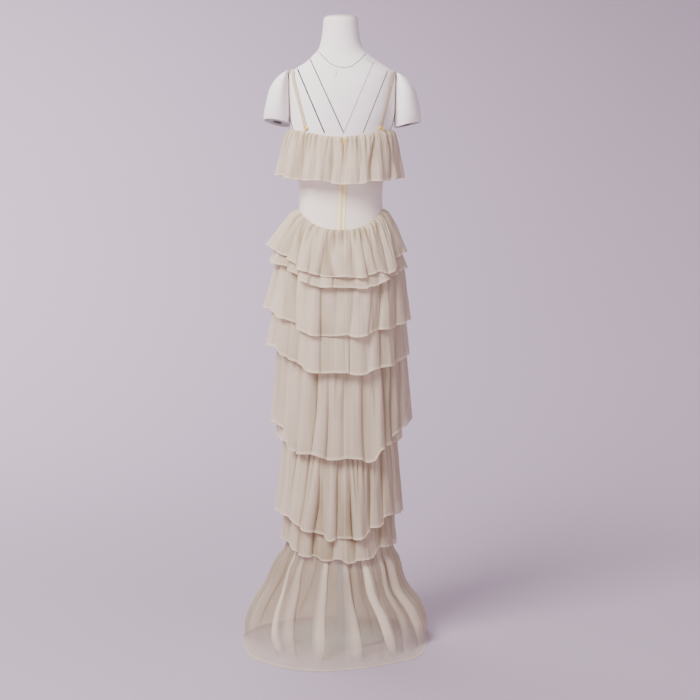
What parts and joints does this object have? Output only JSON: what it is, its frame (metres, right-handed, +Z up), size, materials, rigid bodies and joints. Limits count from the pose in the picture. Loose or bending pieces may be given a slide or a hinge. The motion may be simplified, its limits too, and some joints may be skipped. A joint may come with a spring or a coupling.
{
  "type": "maxi dress on dress form",
  "caption": "Long dress of gathered chiffon tiers with a bust flounce, thin straps, a back zip and a small train, on a limbless dress form with a pole stand.",
  "frame": {"origin": "middle of the box's underside, on the floor that the stand's base and the dress's hem rest on", "axes": "+Z up along the form, -Y out of the wearer's back, where the zip is, and -X to the wearer's left"},
  "size_m": [0.4934, 0.5072, 1.61],
  "materials": {
    "chiffon": "soft matt crinkled chiffon, sheer where it is one layer",
    "sheer_mesh": "fine sheer stretch mesh",
    "strap_satin": "satin-faced strap",
    "zip_tape": "matt woven tape",
    "gold_metal": "polished",
    "form_cloth": "smooth matt cover",
    "black_plate": "matt",
    "stand_metal": "satin grey"
  },
  "bodies": {
    "dress_on_form": {"form_torso": "form_cloth", "form_arm_left": "form_cloth", "form_arm_right": "form_cloth", "neck_cap": "form_cloth", "arm_plate_left": "black_plate", "arm_plate_right": "black_plate", "stand_pole": "stand_metal", "stand_base": "stand_metal", "bodice_front": "sheer_mesh", "bodice_back_left": "sheer_mesh", "bodice_back_right": "sheer_mesh", "zip_tape_left": "zip_tape", "zip_tape_right": "zip_tape", "zip_slider": "gold_metal", "strap_back_left": "strap_satin", "strap_back_right": "strap_satin", "strap_front_left": "strap_satin", "strap_front_right": "strap_satin", "strap_ring_left": "gold_metal", "strap_ring_right": "gold_metal", "strap_slide_left": "gold_metal", "strap_slide_right": "gold_metal", "bust_flounce": "chiffon", "skirt_lining": "chiffon", "tier_1": "chiffon", "tier_2": "chiffon", "tier_3": "chiffon", "tier_4": "chiffon", "tier_5": "chiffon", "tier_5_under": "chiffon", "tier_6": "chiffon", "tier_7": "chiffon", "train_back": "chiffon", "train_front": "chiffon"},
    "zip_pull_tab": {"zip_pull": "gold_metal"}
  },
  "joints": [
    {"name": "zip_pull_swing", "type": "hinge", "parent": "dress_on_form", "child": "zip_pull_tab", "pos_m": [0.0227, -0.0247, 1.2962], "axis": [-1, 0, 0], "range_deg": [0, 150]}
  ]
}
